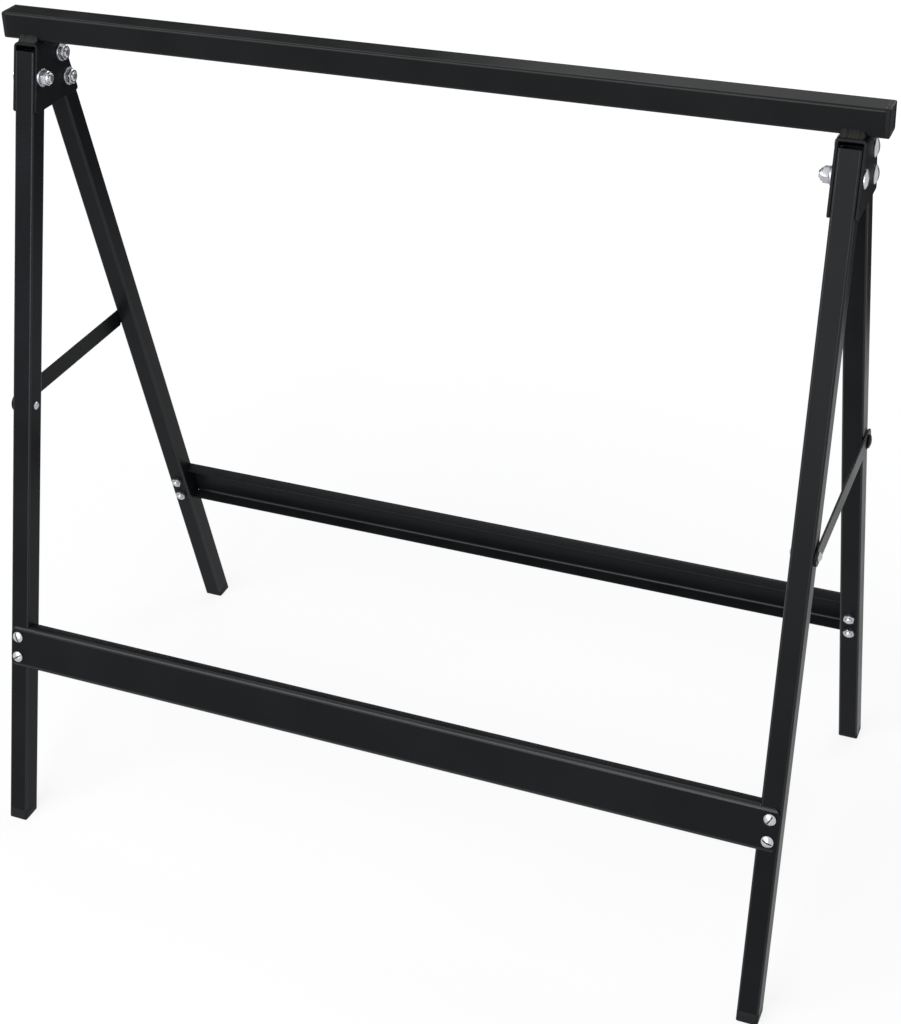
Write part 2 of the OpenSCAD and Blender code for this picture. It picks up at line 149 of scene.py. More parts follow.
# %% Helpers for shader nodes
def add_node(tree, kind, **settings):
    """Adds a node; names of inputs set their values, and other names set the node's own properties."""
    node = tree.nodes.new(kind)
    for name, value in settings.items():
        if name in node.inputs:
            node.inputs[name].default_value = value
        else:
            setattr(node, name, value)
    return node


def feed(tree, value, socket):
    """Links a socket, or sets a plain value, into an input socket."""
    if isinstance(value, bpy.types.NodeSocket):
        tree.links.new(value, socket)
    else:
        socket.default_value = value


def reckon(tree, operation, first, second):
    """One step of arithmetic on two sockets or numbers."""
    node = add_node(tree, "ShaderNodeMath", operation=operation)
    feed(tree, first, node.inputs[0])
    feed(tree, second, node.inputs[1])
    return node.outputs[0]


def ranged(tree, value, low, high, to_low=0.0, to_high=1.0):
    """Stretches a value from one range to another, and stops it at the ends."""
    stretch = add_node(tree, "ShaderNodeMapRange")
    for socket, number in zip(stretch.inputs, (value, low, high, to_low, to_high)):
        feed(tree, number, socket)
    return stretch.outputs[0]


def seen_directly(tree):
    """One where the ray comes from the camera, a mirror-like surface or glass."""
    path = add_node(tree, "ShaderNodeLightPath").outputs
    either = reckon(tree, "MAXIMUM", path["Is Camera Ray"], path["Is Glossy Ray"])
    return reckon(tree, "MAXIMUM", either, path["Is Transmission Ray"])


def mix_shaders(tree, factor, first, second):
    """Mixes two shaders: the first where the factor is zero, the second where it is one."""
    mix = add_node(tree, "ShaderNodeMixShader")
    for socket, value in zip(mix.inputs, (factor, first, second)):
        feed(tree, value, socket)
    return mix.outputs[0]


# %% Sky
SKY_LIGHT = 0.3
SKY_TINT = (0.94, 0.97, 1.0, 1.0)
WHITE = (1.0, 1.0, 1.0, 1.0)

world = bpy.data.worlds.new("studio")
bpy.context.scene.world = world
world.use_nodes = True
tree = world.node_tree
tree.nodes.clear()
light_sky = add_node(tree, "ShaderNodeBackground", Color=SKY_TINT, Strength=SKY_LIGHT).outputs[0]
white_sky = add_node(tree, "ShaderNodeBackground", Color=WHITE, Strength=1.0).outputs[0]
sky_out = add_node(tree, "ShaderNodeOutputWorld")
feed(tree, mix_shaders(tree, seen_directly(tree), light_sky, white_sky), sky_out.inputs[0])
bpy.context.scene.view_settings.view_transform = "Standard"
print("sky: light", SKY_LIGHT)

# %% [markdown]
# ## Softboxes
#
# A softbox is a lamp behind a wide sheet of cloth. The largest hangs high on the left in front and draws the
# pale lines along the folds. A narrow one stands low in front and lights the front faces. One hangs above and
# behind for the top of the beam, and one stands behind on the right, so that the far side isn't left dark.
# Bare bulbs would give small hard highlights instead.

# %% Softboxes
TRESTLE_MIDDLE = Vector((0.0, 0.0, 0.45))
SOFTBOXES = {
    # name: place, width and height, brightness
    "front_softbox": ((-0.74, -1.57, 1.65), (1.8, 1.0), 5.8),
    "low_softbox": ((0.0, -2.2, 0.75), (0.5, 0.9), 10.0),
    "top_softbox": ((-0.7, 1.1, 2.2), (1.4, 0.8), 2.4),
    "back_softbox": ((1.1, 2.3, 1.3), (1.6, 1.0), 5.0),
}


def add_softbox(name, place, size, radiance):
    """An area lamp that faces the trestle; its energy follows from its brightness and its area."""
    lamp = bpy.data.lights.new(name, "AREA")
    lamp.shape = "RECTANGLE"
    lamp.size, lamp.size_y = size
    lamp.energy = radiance * math.pi * size[0] * size[1]
    softbox = bpy.data.objects.new(name, lamp)
    softbox.location = place
    softbox.rotation_euler = (TRESTLE_MIDDLE - Vector(place)).to_track_quat("-Z", "Y").to_euler()
    softbox.visible_camera = False
    bpy.context.scene.collection.objects.link(softbox)


for name, settings in SOFTBOXES.items():
    add_softbox(name, *settings)
print("softboxes:", len(SOFTBOXES))

# %% [markdown]
# ## Dark cards
#
# A photographer holds black cards near a shiny thing, because a face that mirrors a white room looks grey.
# Two upright cards behind the trestle do that for the top of the beam and for the back frame. Darker paint
# would darken every face alike. Only reflections see the cards, so they throw no shadow.

# %% Dark cards
CARD_GREY = (0.02, 0.02, 0.022, 1.0)
UPRIGHT = (math.radians(90), 0.0, 0.0)
CARDS = {
    # name: place, width, height
    "low_card": ((-0.5, 1.1, 0.45), 3.4, 0.9),
    "tall_card": ((-1.48, 1.1, 1.35), 2.24, 0.9),
}


def fresh(name, add, **settings):
    """Adds a primitive with nothing else selected, and names it."""
    bpy.ops.object.select_all(action="DESELECT")
    add(**settings)
    bpy.context.object.name = name
    return bpy.context.object


def add_card(name, place, width, height):
    """An upright dark card that only reflections see."""
    card = fresh(name, bpy.ops.mesh.primitive_plane_add, size=1.0, location=place, rotation=UPRIGHT)
    card.scale = (width, height, 1.0)
    card.visible_camera = card.visible_diffuse = False
    card.visible_transmission = card.visible_shadow = False
    felt = bpy.data.materials.new(name + "_felt")
    felt.use_nodes = True
    felt.node_tree.nodes["Principled BSDF"].inputs["Base Color"].default_value = CARD_GREY
    card.data.materials.append(felt)
    card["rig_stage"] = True


for name, settings in CARDS.items():
    add_card(name, *settings)
print("cards:", len(CARDS))

# %% [markdown]
# ## Floor
#
# The trestle stands on white paper. Plain white paper would need far more light than the steel can take, so
# for the camera and for reflections it glows just short of white, and the lamps add the rest: where the legs
# keep their light away, a soft shadow stays. The glow is weaker near the trestle, where the lamps are strong.
# For the light that it throws back on the steel, it is plain pale paper.

# %% Floor
FLOOR_SIZE = 24.0
FLOOR_PALE = (0.80, 0.80, 0.80, 1.0)
FLOOR_SHADE = (0.15, 0.15, 0.155, 1.0)
GLOW_NEAR, GLOW_FAR = 0.85, 0.95
GLOW_START, GLOW_END = 0.5, 2.2

floor = fresh("studio_floor", bpy.ops.mesh.primitive_plane_add, size=FLOOR_SIZE)
paper = bpy.data.materials.new("floor_paper")
paper.use_nodes = True
tree = paper.node_tree
tree.nodes.clear()
bounce = add_node(tree, "ShaderNodeBsdfDiffuse", Color=FLOOR_PALE).outputs[0]
shadow_catch = add_node(tree, "ShaderNodeBsdfDiffuse", Color=FLOOR_SHADE).outputs[0]
away = add_node(tree, "ShaderNodeVectorMath", operation="LENGTH")
feed(tree, add_node(tree, "ShaderNodeTexCoord").outputs["Object"], away.inputs[0])
glow = add_node(tree, "ShaderNodeEmission", Color=WHITE)
strength = ranged(tree, away.outputs["Value"], GLOW_START, GLOW_END, GLOW_NEAR, GLOW_FAR)
feed(tree, strength, glow.inputs["Strength"])
lit = add_node(tree, "ShaderNodeAddShader")
feed(tree, shadow_catch, lit.inputs[0])
feed(tree, glow.outputs[0], lit.inputs[1])
paper_out = add_node(tree, "ShaderNodeOutputMaterial")
feed(tree, mix_shaders(tree, seen_directly(tree), bounce, lit.outputs[0]), paper_out.inputs[0])
floor.data.materials.append(paper)
floor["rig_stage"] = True
print("floor:", FLOOR_SIZE, "m square")

# %% [markdown]
# ## Effects that several finishes share
#
# Powder coat, zinc plate and moulded plastic each have a skin of their own, and wear and dust come on top.
# Each effect is a node group, built once and placed in the materials with other values. The patterns sit on
# Object coordinates, so they stay on the steel when the frames fold.

# %% Helpers for node groups
def new_group(name, inputs, outputs):
    """A shader node group with number inputs, given as name and default, and named number outputs."""
    group = bpy.data.node_groups.new(name, "ShaderNodeTree")
    for label, value in inputs.items():
        socket = group.interface.new_socket(label, in_out="INPUT", socket_type="NodeSocketFloat")
        socket.default_value = value
    for label in outputs:
        group.interface.new_socket(label, in_out="OUTPUT", socket_type="NodeSocketFloat")
    return group, add_node(group, "NodeGroupInput").outputs, add_node(group, "NodeGroupOutput").inputs


def noise(tree, scale, detail, roughness):
    """Cloudy noise on Object coordinates; scale is in features for each metre."""
    place = add_node(tree, "ShaderNodeTexCoord")
    cloud = add_node(tree, "ShaderNodeTexNoise", Detail=detail, Roughness=roughness)
    feed(tree, place.outputs["Object"], cloud.inputs["Vector"])
    feed(tree, scale, cloud.inputs["Scale"])
    return cloud.outputs[0]


def placed_group(tree, group, **inputs):
    """Places a group in a material and feeds its inputs; underscores in names stand for spaces."""
    node = add_node(tree, "ShaderNodeGroup", node_tree=group)
    for name, value in inputs.items():
        feed(tree, value, node.inputs[name.replace("_", " ")])
    return node.outputs


# %% [markdown]
# ## Powder coat skin
#
# Powder is sprayed on dry and baked until it runs together, which leaves a fine orange peel. The group gives
# broad patches, tiny pale specks and the height of the peel. One noise could serve for all three, but on the
# real coat they are of very different sizes.

# %% Powder coat skin
coat_skin, ask, give = new_group(
    "powder_coat_skin",
    {"Patch Scale": 14.0, "Peel Scale": 620.0, "Speck Scale": 1500.0},
    ("Patch", "Speck", "Height"),
)
patches = noise(coat_skin, ask["Patch Scale"], detail=3.0, roughness=0.55)
specks = noise(coat_skin, ask["Speck Scale"], detail=1.0, roughness=0.5)
feed(coat_skin, ranged(coat_skin, patches, low=0.3, high=0.7), give["Patch"])
feed(coat_skin, ranged(coat_skin, specks, low=0.62, high=0.8), give["Speck"])
feed(coat_skin, noise(coat_skin, ask["Peel Scale"], detail=2.0, roughness=0.45), give["Height"])
print("group:", coat_skin.name)

# %% [markdown]
# ## Rubbed edges
#
# Other things knock against the edges first. The rounded edges made further down carry a mark, and a noise
# breaks that mark into stretches, because an unbroken pale line would look drawn on.

# %% Rubbed edges
rubbed, ask, give = new_group(
    "rubbed_edge", {"Edge": 0.0, "Break Scale": 90.0, "Amount": 0.5}, ("Mask",)
)
stretches = noise(rubbed, ask["Break Scale"], detail=4.0, roughness=0.6)
broken = ranged(rubbed, stretches, low=0.42, high=0.66)
on_edge = reckon(rubbed, "MULTIPLY", ask["Edge"], broken)
feed(rubbed, reckon(rubbed, "MULTIPLY", on_edge, ask["Amount"]), give["Mask"])
print("group:", rubbed.name)

# %% [markdown]
# ## Settled dust
#
# Dust lies where a face looks up. The height of the surface's normal says how far it does, and a cloudy noise
# spreads the dust unevenly. Painting it on by hand would miss the small faces.

# %% Settled dust
dust, ask, give = new_group("settled_dust", {"Cloud Scale": 22.0, "Amount": 0.3}, ("Mask",))
facing = add_node(dust, "ShaderNodeSeparateXYZ")
feed(dust, add_node(dust, "ShaderNodeTexCoord").outputs["Normal"], facing.inputs[0])
upward = ranged(dust, facing.outputs["Z"], low=0.55, high=0.98)
clouds = noise(dust, ask["Cloud Scale"], detail=5.0, roughness=0.62)
lying = reckon(dust, "MULTIPLY", upward, ranged(dust, clouds, low=0.35, high=0.75))
feed(dust, reckon(dust, "MULTIPLY", lying, ask["Amount"]), give["Mask"])
print("group:", dust.name)

# %% [markdown]
# ## Skins of zinc and plastic
#
# Plating leaves faint milky clouds over the fine marks of the steel beneath, and moulded plastic shows flow
# marks and the grain of its mould. Both are a broad pattern and a fine height, at sizes that suit small
# pieces: patches as wide as those of the paint wouldn't show on a nut.

# %% Zinc plate skin
zinc_skin, ask, give = new_group(
    "zinc_plate_skin", {"Cloud Scale": 240.0, "Draw Scale": 1900.0}, ("Cloud", "Height")
)
clouds = noise(zinc_skin, ask["Cloud Scale"], detail=4.0, roughness=0.6)
feed(zinc_skin, ranged(zinc_skin, clouds, low=0.3, high=0.7), give["Cloud"])
feed(zinc_skin, noise(zinc_skin, ask["Draw Scale"], detail=2.0, roughness=0.5), give["Height"])
print("group:", zinc_skin.name)

# %% Moulded plastic skin
mould_skin, ask, give = new_group(
    "moulded_skin", {"Flow Scale": 60.0, "Grain Scale": 1400.0}, ("Flow", "Height")
)
flow = noise(mould_skin, ask["Flow Scale"], detail=3.0, roughness=0.5)
feed(mould_skin, ranged(mould_skin, flow, low=0.3, high=0.7), give["Flow"])
feed(mould_skin, noise(mould_skin, ask["Grain Scale"], detail=3.0, roughness=0.6), give["Height"])
print("group:", mould_skin.name)

# %% [markdown]
# ## Finishes
#
# A finish is a material with one Principled shader. What is the same all over is set on the shader itself,
# and the groups feed what changes over the surface: its colour, its roughness and its bumps.

# %% Helpers for finishes
def new_finish(name, metallic, specular):
    """A material with a Principled shader, and what is the same all over set on it."""
    material = bpy.data.materials.new(name)
    material.use_nodes = True
    shader = material.node_tree.nodes["Principled BSDF"].inputs
    shader["Metallic"].default_value = metallic
    shader["Specular IOR Level"].default_value = specular
    return material, material.node_tree, shader


def tinted(tree, mask, first, second):
    """Mixes two colours by a mask; a colour is a socket or three numbers."""
    mix = add_node(tree, "ShaderNodeMix", data_type="RGBA")
    feed(tree, mask, mix.inputs[0])
    for socket, colour in ((mix.inputs[6], first), (mix.inputs[7], second)):
        feed(tree, colour if isinstance(colour, bpy.types.NodeSocket) else (*colour, 1.0), socket)
    return mix.outputs[2]


def shaded(colour, share):
    """A colour made darker or paler by a share."""
    return tuple(share * part for part in colour)


def marked(tree, mark):
    """The mark that the modelling leaves on some faces, as a socket from zero to one."""
    return add_node(tree, "ShaderNodeAttribute", attribute_name=mark).outputs["Fac"]


def bumped(tree, height, strength, depth, shader):
    """Feeds a height to the shader's normal; depth is how far the bumps would stand out."""
    bump = add_node(tree, "ShaderNodeBump", Strength=strength, Distance=depth)
    feed(tree, height, bump.inputs["Height"])
    feed(tree, bump.outputs[0], shader["Normal"])


# %% [markdown]
# ## Satin black powder coat
#
# The steel has a thick satin black skin, a little greyer where it is rubbed and where dust lies. It could be
# one flat black, but then the tubes would read as cut paper. The beam, the frames, the brackets, the welds
# and the stays are coated separately, so each has its own slightly different black. Round the folds the film
# flows out smoother, so a clear coat gives more sheen to the faces that are marked as folds.

# %% Satin black powder coat
RUBBED_GREY = (0.040, 0.042, 0.045)
DUST_GREY = (0.075, 0.075, 0.072)
PAINT_SPECULAR = 0.058
PATCH_DARK, PATCH_PALE, SPECK_PALE = 0.86, 1.16, 1.7
PATCH_GLOSSY, PATCH_DULL, DUST_DULL = 0.03, 0.04, 0.3
FOLD_ROUGHNESS = 0.3
PEEL_STRENGTH, PEEL_DEPTH = 0.16, 0.12 * MM
STEEL_PEEL, WELD_PEEL = 620.0, 900.0
FOLD_SHEEN, BEAM_SHEEN = 0.36, 0.18
PAINTS = {
    # slot: colour, roughness, rubbing, dust, sheen of folds, scale of peel
    "beam_paint": ((0.0072, 0.0080, 0.0084), 0.34, 0.45, 0.12, BEAM_SHEEN, STEEL_PEEL),
    "frame_paint": ((0.0070, 0.0077, 0.0090), 0.34, 0.40, 0.08, FOLD_SHEEN, STEEL_PEEL),
    "bracket_paint": ((0.0082, 0.0088, 0.0098), 0.36, 0.50, 0.08, FOLD_SHEEN, STEEL_PEEL),
    "weld_paint": ((0.0220, 0.0224, 0.0206), 0.42, 0.0, 0.20, FOLD_SHEEN, WELD_PEEL),
    "stay_paint": ((0.0084, 0.0090, 0.0101), 0.34, 0.60, 0.08, FOLD_SHEEN, STEEL_PEEL),
}


def powder_coat(name, colour, roughness, rub, dusty, sheen, peel):
    """Satin black coat; rub and dusty are amounts of wear, and sheen is for its folds."""
    material, tree, shader = new_finish(name, 0.0, PAINT_SPECULAR)
    skin = placed_group(tree, coat_skin, Peel_Scale=peel)
    worn = placed_group(tree, rubbed, Edge=marked(tree, "edge"), Amount=rub)["Mask"]
    lying = placed_group(tree, dust, Amount=dusty)["Mask"]
    coat = tinted(tree, skin["Patch"], shaded(colour, PATCH_DARK), shaded(colour, PATCH_PALE))
    coat = tinted(tree, skin["Speck"], coat, shaded(colour, SPECK_PALE))
    coat = tinted(tree, worn, coat, RUBBED_GREY)
    feed(tree, tinted(tree, lying, coat, DUST_GREY), shader["Base Color"])
    rough = ranged(tree, skin["Patch"], 0.0, 1.0, roughness - PATCH_GLOSSY, roughness + PATCH_DULL)
    dulled = reckon(tree, "MULTIPLY", lying, DUST_DULL)
    feed(tree, reckon(tree, "ADD", rough, dulled), shader["Roughness"])
    feed(tree, reckon(tree, "MULTIPLY", marked(tree, "fold"), sheen), shader["Coat Weight"])
    shader["Coat Roughness"].default_value = FOLD_ROUGHNESS
    bumped(tree, skin["Height"], PEEL_STRENGTH, PEEL_DEPTH, shader)
    return material


FINISHES = {slot: powder_coat(slot + "_coat", *settings) for slot, settings in PAINTS.items()}
print("painted finishes:", ", ".join(FINISHES))

# %% [markdown]
# ## Zinc plate
#
# Bolts, nuts, washers and rivets are plated with bright zinc. Grey paint would look chalky, so the shader is
# fully metallic, and the clouds of the plating change its tone and its roughness together. The slots of the
# screws, whose faces are marked, get painted shade: their colour is darkened where the walls shade each
# other.

# %% Zinc plate
# near-black grey painted into the screws' slots as painted shade
SLOT_SHADE_GREY = (0.055, 0.052, 0.048)
ZINC_SPECULAR = 0.5
CLOUD_DARK = 0.88
CLOUD_DULL, CLOUD_GLOSSY = 0.07, 0.05
DRAW_STRENGTH, DRAW_DEPTH = 0.10, 0.04 * MM
ZINCS = {
    # slot: colour, roughness
    "bolt_zinc": ((0.54, 0.55, 0.57), 0.30),
    "nut_zinc": ((0.48, 0.49, 0.52), 0.30),
    "washer_zinc": ((0.40, 0.41, 0.44), 0.36),
    "rivet_zinc": ((0.48, 0.49, 0.51), 0.34),
}


def zinc_plate(name, colour, roughness):
    """Bright zinc with faint clouds and painted shade in its slots."""
    material, tree, shader = new_finish(name, 1.0, ZINC_SPECULAR)
    skin = placed_group(tree, zinc_skin)
    plate = tinted(tree, skin["Cloud"], shaded(colour, CLOUD_DARK), colour)
    # painted shade: the marked slot faces are darkened towards a near-black grey
    feed(tree, tinted(tree, marked(tree, "slot_shade"), plate, SLOT_SHADE_GREY), shader["Base Color"])
    rough = ranged(tree, skin["Cloud"], 0.0, 1.0, roughness + CLOUD_DULL, roughness - CLOUD_GLOSSY)
    feed(tree, rough, shader["Roughness"])
    bumped(tree, skin["Height"], DRAW_STRENGTH, DRAW_DEPTH, shader)
    return material


for slot, settings in ZINCS.items():
    FINISHES[slot] = zinc_plate(slot + "_plate", *settings)
print("plated finishes:", ", ".join(ZINCS))

# %% [markdown]
# ## Moulded plastic
#
# The plugs are moulded from black plastic, duller than the paint and the same colour all through, so it has
# no rubbed edges. A plain dark shader would come close, but faint flow marks and grain tell it from steel.

# %% Moulded plastic
PLASTIC_SPECULAR = 0.10
PLASTIC_DUST = 0.2
FLOW_DARK, FLOW_PALE, FLOW_ROUGH = 0.85, 1.2, 0.05
GRAIN_STRENGTH, GRAIN_DEPTH = 0.2, 0.06 * MM


def moulded_plastic(name, colour, roughness):
    """Dull plastic with flow marks, grain and a little dust."""
    material, tree, shader = new_finish(name, 0.0, PLASTIC_SPECULAR)
    skin = placed_group(tree, mould_skin)
    lying = placed_group(tree, dust, Amount=PLASTIC_DUST)["Mask"]
    body = tinted(tree, skin["Flow"], shaded(colour, FLOW_DARK), shaded(colour, FLOW_PALE))
    feed(tree, tinted(tree, lying, body, DUST_GREY), shader["Base Color"])
    rough = ranged(tree, skin["Flow"], 0.0, 1.0, roughness - FLOW_ROUGH, roughness + FLOW_ROUGH)
    feed(tree, rough, shader["Roughness"])
    bumped(tree, skin["Height"], GRAIN_STRENGTH, GRAIN_DEPTH, shader)
    return material


FINISHES["plug_plastic"] = moulded_plastic(
    "plug_plastic_moulded", (0.0105, 0.0109, 0.0118), roughness=0.5
)
print("finishes:", len(FINISHES))

# %% [markdown]
# ## Tools for the workbench
#
# An operator works on whatever is selected, so each step first selects one object alone. A finished piece is
# then dressed: it gets its finish, rides on the body of the solid that it stands for, and hides that solid.

# %% Workbench tools
def only(*pieces):
    """Selects these objects alone and makes the first one active."""
    bpy.ops.object.select_all(action="DESELECT")
    for piece in pieces:
        piece.select_set(True)
    bpy.context.view_layer.objects.active = pieces[0]


def finish_modifier(piece, kind, **settings):
    """Adds a modifier and applies it."""
    only(piece)
    modifier = piece.modifiers.new(kind.lower(), kind)
    for name, value in settings.items():
        setattr(modifier, name, value)
    bpy.ops.object.modifier_apply(modifier=modifier.name)


def dress(piece, node):
    """Gives a piece the finish and the body of the CAD node that it stands for."""
    piece.data.materials.clear()
    piece.data.materials.append(FINISHES[SLOTS[node]])
    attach(piece, NODES[node]["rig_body"])
    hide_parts(node)


# %% [markdown]
# ## Tubes, channels, brackets and stays
#
# On the real trestle these are cut and drilled steel, coated afterwards, so no edge is sharp: the coat rounds
# it. The solids already have the right holes and folds, so each is copied, its loose triangles are merged
# into clean faces, and a narrow bevel rounds every cut edge. Drawing the pieces again would only repeat the
# solids. The bevel's own faces are marked, so that the finish can rub them, and so are the long narrow faces
# round the folds, which get their sheen by it.

# %% Soften the cut edges
MERGE_GAP = 0.002 * MM
FLAT_ANGLE = math.radians(0.3)
CUT_ANGLE = math.radians(40)
COAT_ROUND = 0.4 * MM
FOLD_FACET = 1.3 * MM
FOLD_LENGTH = 60 * MM
FLAT_WEIGHT = 80
LEG_INSIDE = abs(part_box("front_leg_left")[1].x)


def on_fold(mesh, face):
    """True for the long narrow facets of a fold or of a tube's round corner."""
    longest = max((mesh.vertices[a].co - mesh.vertices[b].co).length for a, b in face.edge_keys)
    return longest > FOLD_LENGTH and face.area < FOLD_FACET * longest


def keeps_sharp(node, *ends):
    """True for the sawn ends of a stretcher's flanges, which are tucked against the legs."""
    return "stretcher" in node and all(abs(abs(end.x) - LEG_INSIDE) < MM for end in ends)


def softened(node):
    """A copy of a steel node with rounded cut edges; its edges and folds are marked for the finish."""
    piece = bpy.data.objects.new(node + "_steel", NODES[node].data.copy())
    bpy.context.scene.collection.objects.link(piece)
    only(piece)
    bpy.ops.mesh.customdata_custom_splitnormals_clear()
    bpy.ops.object.mode_set(mode="EDIT")
    bpy.ops.mesh.select_all(action="SELECT")
    bpy.ops.mesh.remove_doubles(threshold=MERGE_GAP)
    bpy.ops.mesh.dissolve_limited(angle_limit=FLAT_ANGLE)
    bpy.ops.mesh.select_mode(type="EDGE")
    bpy.ops.mesh.select_all(action="DESELECT")
    bpy.ops.mesh.edges_select_sharp(sharpness=CUT_ANGLE)
    bpy.ops.object.mode_set(mode="OBJECT")
    bpy.context.tool_settings.mesh_select_mode = (True, False, False)
    weights = piece.data.attributes.new("bevel_weight_edge", "FLOAT", "EDGE")
    for edge in piece.data.edges:
        ends = [piece.data.vertices[v].co for v in edge.vertices]
        weights.data[edge.index].value = float(edge.select and not keeps_sharp(node, *ends))
    for marker in ("flat", "rounded"):
        piece.data.materials.append(bpy.data.materials.new(marker))
    piece.data.materials.pop(index=0)
    finish_modifier(
        piece, "BEVEL", limit_method="WEIGHT", width=COAT_ROUND, segments=2, material=1,
        use_clamp_overlap=False,
    )
    piece.data.attributes.new("edge", "FLOAT", "CORNER")
    piece.data.attributes.new("fold", "FLOAT", "CORNER")
    edges, folds = (piece.data.attributes[name].data for name in ("edge", "fold"))
    for face in piece.data.polygons:
        for corner in face.loop_indices:
            edges[corner].value = float(face.material_index)
            folds[corner].value = float(face.material_index == 0 and on_fold(piece.data, face))
        face.material_index = 0
    bpy.ops.object.shade_smooth()
    finish_modifier(piece, "WEIGHTED_NORMAL", keep_sharp=True, weight=FLAT_WEIGHT)
    dress(piece, node)
    return piece


STEEL = [name for name in NODES if SLOTS[name] in ("beam_paint", "frame_paint", "bracket_paint")]
STEEL += ["stay_left", "stay_right"]
for name in STEEL:
    made = softened(name)
print("softened:", len(STEEL), "pieces, the last with", len(made.data.polygons), "faces")

# %% [markdown]
# ## Where the hardware sits
#
# Bolts, nuts and screws repeat, so each is modelled once and copied to its places. The places could be typed
# in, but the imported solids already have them: a group is split into its separate solids, and the middle of
# each solid's box lies on its axis. Every copy has its own mesh with its place in it.

# %% Measure the solids
SPOT_DIGITS = 6
COLUMN_DIGITS = 3


def solid_boxes(node):
    """Lowest and highest corners of each separate solid of a node, from left to right, then upwards."""
    mesh = NODES[node].data
    spots = {}
    ids = [
        spots.setdefault(tuple(round(c, SPOT_DIGITS) for c in vertex.co), len(spots))
        for vertex in mesh.vertices
    ]
    owner = list(range(len(spots)))

    def root(i):
        while owner[i] != i:
            i = owner[i]
        return i

    for face in mesh.polygons:
        first, *others = [ids[v] for v in face.vertices]
        for other in others:
            owner[root(other)] = root(first)
    solids = {}
    for spot, i in spots.items():
        solids.setdefault(root(i), []).append(spot)
    boxes = [(Vector(map(min, zip(*s))), Vector(map(max, zip(*s)))) for s in solids.values()]
    return sorted(boxes, key=lambda box: (round(box[0].x, COLUMN_DIGITS), box[0].z))


def middle(box):
    """The middle of a box."""
    return (box[0] + box[1]) / 2


def length_x(box):
    """The length of a box along X, in millimetres."""
    return (box[1].x - box[0].x) / MM


nut_middles = [middle(box) for box in solid_boxes("front_stretcher_nuts")]
up_leg = (nut_middles[1] - nut_middles[0]).normalized()
LEAN = math.atan2(up_leg.y, up_leg.z)
print("lean of the legs:", round(math.degrees(LEAN), 2), "degrees")

# %% Copy a model to its places
def along(axis, twist=0.0):
    """The turn that points Z along an axis, after a twist about Z."""
    return axis.to_track_quat("Z", "Y").to_matrix().to_4x4() @ Matrix.Rotation(twist, 4, "Z")


def end_on(box, twist=0.0):
    """The place of a fastener whose axis runs along X: zero at its inner end, Z out of the trestle."""
    side = math.copysign(1.0, middle(box).x)
    inner = min(box[0].x, box[1].x, key=abs)
    return Matrix.Translation((inner, middle(box).y, middle(box).z)) @ along(Vector((side, 0, 0)), twist)


def all_end_on(boxes, twist=0.0):
    """The places of several fasteners, each twisted further than the last."""
    return [end_on(box, twist * i) for i, box in enumerate(boxes)]


def copies(model, name, places):
    """One piece made of copies of a model, one at each place, with the places in its mesh."""
    made = []
    for place in places:
        copy = bpy.data.objects.new(name, model.data.copy())
        copy.matrix_world = place
        bpy.context.scene.collection.objects.link(copy)
        made.append(copy)
    only(*made)
    bpy.ops.object.transform_apply(location=True, rotation=True, scale=True)
    if len(made) > 1:
        bpy.ops.object.join()
    made[0].name = name
    return made[0]


def put_away(*models):
    """Removes the models once their copies stand in place."""
    for model in models:
        bpy.data.meshes.remove(model.data)


# %% [markdown]
# ## Turned shapes
#
# A bolt, a washer, a rivet and a stud are round about one axis. Each is drawn as half of its outline, vertex
# by vertex, and spun round the axis. The outline starts and ends on the axis or closes on itself, so the spun
# shape is closed once its doubles are merged. A stock cylinder would need as many cuts as this has points.

# %% Spin an outline
SPIN_STEPS = 48
SMOOTH_ANGLE = math.radians(35)


def drawn_line(name, points):
    """A chain of edges through points in millimetres, selected and open in edit mode."""
    spots = [Vector(point) * MM for point in points]
    piece = fresh(name, bpy.ops.mesh.primitive_plane_add, size=MM)
    bpy.ops.object.mode_set(mode="EDIT")
    bpy.ops.mesh.select_all(action="SELECT")
    bpy.ops.mesh.merge(type="CENTER")
    bpy.ops.transform.translate(value=spots[0])
    for start, end in zip(spots, spots[1:]):
        bpy.ops.mesh.extrude_vertices_move(TRANSFORM_OT_translate={"value": end - start})
    bpy.ops.mesh.select_all(action="SELECT")
    return piece


def smoothed(piece, angle=SMOOTH_ANGLE):
    """Shades a piece smooth, apart from edges sharper than an angle."""
    only(piece)
    bpy.ops.object.shade_smooth_by_angle(angle=angle)
    return piece


def turned(name, outline):
    """A closed solid from an outline of radius and height pairs in millimetres, spun about Z."""
    piece = drawn_line(name, [(radius, 0.0, height) for radius, height in outline])
    bpy.ops.mesh.spin(steps=SPIN_STEPS, angle=math.tau, center=(0, 0, 0), axis=(0, 0, 1))
    bpy.ops.mesh.select_all(action="SELECT")
    bpy.ops.mesh.remove_doubles(threshold=MERGE_GAP)
    bpy.ops.mesh.normals_make_consistent(inside=False)
    bpy.ops.object.mode_set(mode="OBJECT")
    return smoothed(piece)


def dome(radius, low, high, count=8):
    """Outline points of a round cap from its rim to its middle."""
    rise = high - low
    ball = (radius * radius + rise * rise) / (2 * rise)
    spread = math.asin(min(1.0, radius / ball))
    turns = [spread * (1 - i / count) for i in range(count + 1)]
    return [(ball * math.sin(t), high - ball + ball * math.cos(t)) for t in turns]


# %% [markdown]
# ## Threads
#
# A rolled thread is pressed into the shank, and the same is done here: every point of the spun rings moves in
# by an amount that winds round the axis once for each pitch, so the crests really climb. A bump in the finish
# would be quicker, but the tips of the bolts show against the light and a bump has no outline.

# %% Press a thread
RINGS_PER_PITCH = 6
THREAD_DEPTH = 0.54
GROOVE_HALF = 0.42


def threaded_rise(radius, low, high, pitch):
    """Outline points up a shank, close enough together to carry a thread."""
    count = int((high - low) / pitch * RINGS_PER_PITCH)
    return [(radius, low + (high - low) * i / count) for i in range(count + 1)]


